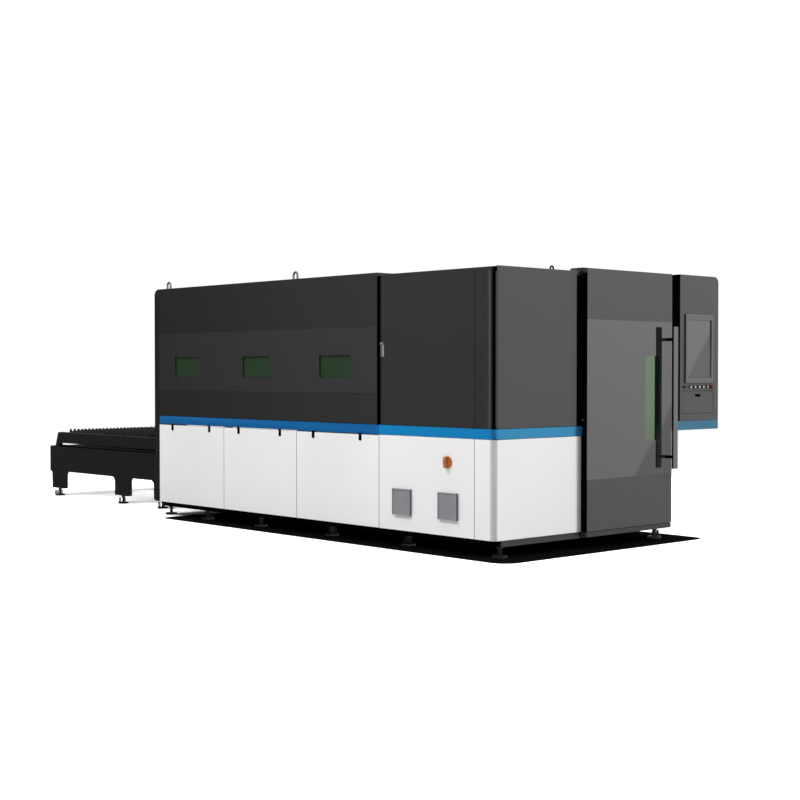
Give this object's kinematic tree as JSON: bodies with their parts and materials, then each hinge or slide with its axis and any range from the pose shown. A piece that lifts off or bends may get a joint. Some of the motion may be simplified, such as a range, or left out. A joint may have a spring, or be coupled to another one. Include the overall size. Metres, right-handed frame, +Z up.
{
  "type": "fiber laser cutting machine",
  "caption": "Enclosed sheet laser cutter: dark upper walls, white lower panels, blue band, sliding front door, side console and a shuttle table behind.",
  "frame": {"origin": "on the floor under the middle of the overall box", "axes": "+X towards the front door, along the machine; +Y towards the console side; +Z up"},
  "size_m": [8.108, 3.091, 2.462],
  "materials": {
    "dark_panel": "dark grey powder coat, fine texture, semi-gloss",
    "front_panel": "dark grey powder coat, semi-gloss",
    "white_panel": "white powder coat, satin",
    "blue_band": "deep blue paint, semi-gloss",
    "black_frame": "black paint, satin",
    "gloss_sheet": "smoked acrylic sheet, polished",
    "green_window": "green laser-safe window, clear",
    "frame_steel": "dark grey primer paint",
    "bed_steel": "grey machine enamel",
    "guide_steel": "ground steel",
    "foot_steel": "black zinc plate",
    "table_black": "black paint, satin",
    "slat_steel": "mill-finish steel, dark",
    "wheel_steel": "turned steel",
    "inner_sheet": "light grey paint",
    "module_case": "anodised case",
    "eye_steel": "zinc plated steel",
    "handle_steel": "brushed stainless",
    "console_paint": "dark grey powder coat, semi-gloss",
    "screen_glass": "polished cover over a dark display",
    "bezel_plastic": "moulded black bezel",
    "vent_plastic": "moulded grey plastic",
    "knob_orange": "moulded orange plastic",
    "latch_metal": "satin chrome",
    "button_black": "moulded plastic",
    "button_pale": "moulded plastic",
    "stop_orange": "moulded plastic",
    "gantry_alu": "machined aluminium",
    "head_dark": "anodised black"
  },
  "bodies": {
    "machine": {"base_frame": "frame_steel", "levelling_feet": "foot_steel", "bed": "bed_steel", "gantry_guides": "guide_steel", "pallet_rails": "guide_steel", "scrap_trays": "inner_sheet", "gearmotor": "bed_steel", "enclosure_frame": "black_frame", "near_upper_panel": "dark_panel", "near_gloss_panel": "gloss_sheet", "near_windows": "green_window", "front_upper_panels": "front_panel", "front_lower_panels": "white_panel", "blue_bands": "blue_band", "door_surround": "black_frame", "rear_panels": "dark_panel", "roof_panels": "dark_panel", "far_upper_panels": "dark_panel", "far_lower_panels": "white_panel", "cabinet_walls": "inner_sheet", "laser_source": "module_case", "drive_units": "module_case", "hinges": "black_frame", "lifting_eyes": "eye_steel", "console_housing": "console_paint", "screen_bezel": "bezel_plastic", "screen": "screen_glass", "table_frame": "table_black", "table_feet": "foot_steel"},
    "front_door": {"door_panel": "front_panel", "door_glass": "gloss_sheet", "door_window": "green_window", "door_handle": "handle_steel"},
    "upper_cabinet_door": {"cabinet_door_upper": "dark_panel", "latch_plate": "latch_metal"},
    "latch": {"latch_lever": "latch_metal"},
    "lower_cabinet_door": {"cabinet_door_lower": "white_panel", "cabinet_vents": "vent_plastic"},
    "isolator": {"isolator_knob": "knob_orange"},
    "flap_1": {"service_flap_1": "white_panel"},
    "flap_2": {"service_flap_2": "white_panel"},
    "flap_3": {"service_flap_3": "white_panel"},
    "keyboard": {"keyboard_flap": "console_paint"},
    "stop_button": {"emergency_stop": "stop_orange"},
    "key": {"key_switch": "latch_metal"},
    "pallet": {"pallet_frame": "table_black", "pallet_slats": "slat_steel"},
    "rear_wheels": {"wheelset_1": "wheel_steel"},
    "front_wheels": {"wheelset_2": "wheel_steel"},
    "roller": {"drive_roller": "wheel_steel"},
    "gantry": {"gantry": "gantry_alu"},
    "carriage": {"carriage": "head_dark"},
    "head": {"cutting_head": "gantry_alu"},
    "button_1": {"push_button_1": "button_pale"},
    "button_2": {"push_button_2": "button_black"},
    "button_3": {"push_button_3": "button_pale"},
    "button_4": {"push_button_4": "button_black"},
    "button_5": {"push_button_5": "button_pale"},
    "button_6": {"push_button_6": "button_black"}
  },
  "joints": [
    {"name": "door_slide", "type": "slide", "parent": "machine", "child": "front_door", "axis": [0, -1, 0], "range_m": [0, 1.03]},
    {"name": "upper_door_hinge", "type": "hinge", "parent": "machine", "child": "upper_cabinet_door", "pos_m": [3.662, -1.4945, 1.18], "axis": [0, 0, 1], "range_deg": [0, 90]},
    {"name": "lower_door_hinge", "type": "hinge", "parent": "machine", "child": "lower_cabinet_door", "pos_m": [3.662, -1.4945, 0.23], "axis": [0, 0, 1], "range_deg": [0, 90]},
    {"name": "latch_hinge", "type": "hinge", "parent": "upper_cabinet_door", "child": "latch", "pos_m": [2.548, -1.5115, 1.757], "axis": [-1, 0, 0], "range_deg": [0, 60]},
    {"name": "isolator_turn", "type": "hinge", "parent": "lower_cabinet_door", "child": "isolator", "pos_m": [3.361, -1.5005, 0.761], "axis": [0, -1, 0], "range_deg": [0, 90]},
    {"name": "flap_1_hinge", "type": "hinge", "parent": "machine", "child": "flap_1", "pos_m": [1.917, -1.5065, 0.964], "axis": [-1, 0, 0], "range_deg": [0, 75]},
    {"name": "flap_2_hinge", "type": "hinge", "parent": "machine", "child": "flap_2", "pos_m": [0.754, -1.5065, 0.964], "axis": [-1, 0, 0], "range_deg": [0, 75]},
    {"name": "flap_3_hinge", "type": "hinge", "parent": "machine", "child": "flap_3", "pos_m": [-0.408, -1.5065, 0.964], "axis": [-1, 0, 0], "range_deg": [0, 75]},
    {"name": "keyboard_hinge", "type": "hinge", "parent": "machine", "child": "keyboard", "pos_m": [3.896, 1.222, 1.134], "axis": [0, 1, 0], "range_deg": [0, 85]},
    {"name": "stop_push", "type": "slide", "parent": "machine", "child": "stop_button", "axis": [-1, 0, 0], "range_m": [0, 0.005], "stiffness_N_per_m": 300},
    {"name": "key_turn", "type": "hinge", "parent": "machine", "child": "key", "pos_m": [3.902, 1.0125, 1.372], "axis": [1, 0, 0], "range_deg": [0, 90]},
    {"name": "button_1_push", "type": "slide", "parent": "machine", "child": "button_1", "axis": [-1, 0, 0], "range_m": [0, 0.004], "stiffness_N_per_m": 200},
    {"name": "button_2_push", "type": "slide", "parent": "machine", "child": "button_2", "axis": [-1, 0, 0], "range_m": [0, 0.004], "stiffness_N_per_m": 200},
    {"name": "button_3_push", "type": "slide", "parent": "machine", "child": "button_3", "axis": [-1, 0, 0], "range_m": [0, 0.004], "stiffness_N_per_m": 200},
    {"name": "button_4_push", "type": "slide", "parent": "machine", "child": "button_4", "axis": [-1, 0, 0], "range_m": [0, 0.004], "stiffness_N_per_m": 200},
    {"name": "button_5_push", "type": "slide", "parent": "machine", "child": "button_5", "axis": [-1, 0, 0], "range_m": [0, 0.004], "stiffness_N_per_m": 200},
    {"name": "button_6_push", "type": "slide", "parent": "machine", "child": "button_6", "axis": [-1, 0, 0], "range_m": [0, 0.004], "stiffness_N_per_m": 200},
    {"name": "pallet_slide", "type": "slide", "parent": "machine", "child": "pallet", "axis": [1, 0, 0], "range_m": [0, 2.83]},
    {"name": "rear_wheels_spin", "type": "hinge", "parent": "pallet", "child": "rear_wheels", "pos_m": [-3.427, -0.3405, 0.665], "axis": [0, 1, 0], "range_deg": [-10, 3620]},
    {"name": "front_wheels_spin", "type": "hinge", "parent": "pallet", "child": "front_wheels", "pos_m": [-1.148, -0.3405, 0.665], "axis": [0, 1, 0], "range_deg": [-10, 3620]},
    {"name": "roller_spin", "type": "hinge", "parent": "machine", "child": "roller", "pos_m": [-0.838, -0.3405, 0.5997], "axis": [0, 1, 0], "range_deg": [-10, 3620]},
    {"name": "gantry_slide", "type": "slide", "parent": "machine", "child": "gantry", "axis": [-1, 0, 0], "range_m": [0, 2.75]},
    {"name": "carriage_slide", "type": "slide", "parent": "gantry", "child": "carriage", "axis": [0, 1, 0], "range_m": [0, 1.48]},
    {"name": "head_slide", "type": "slide", "parent": "carriage", "child": "head", "axis": [0, 0, -1], "range_m": [0, 0.11]}
  ],
  "couplings": [
    {"joint": "rear_wheels_spin", "follows": "pallet_slide", "rad_per_m": 22.222},
    {"joint": "front_wheels_spin", "follows": "pallet_slide", "rad_per_m": 22.222},
    {"joint": "roller_spin", "follows": "pallet_slide", "rad_per_m": 22.222}
  ]
}
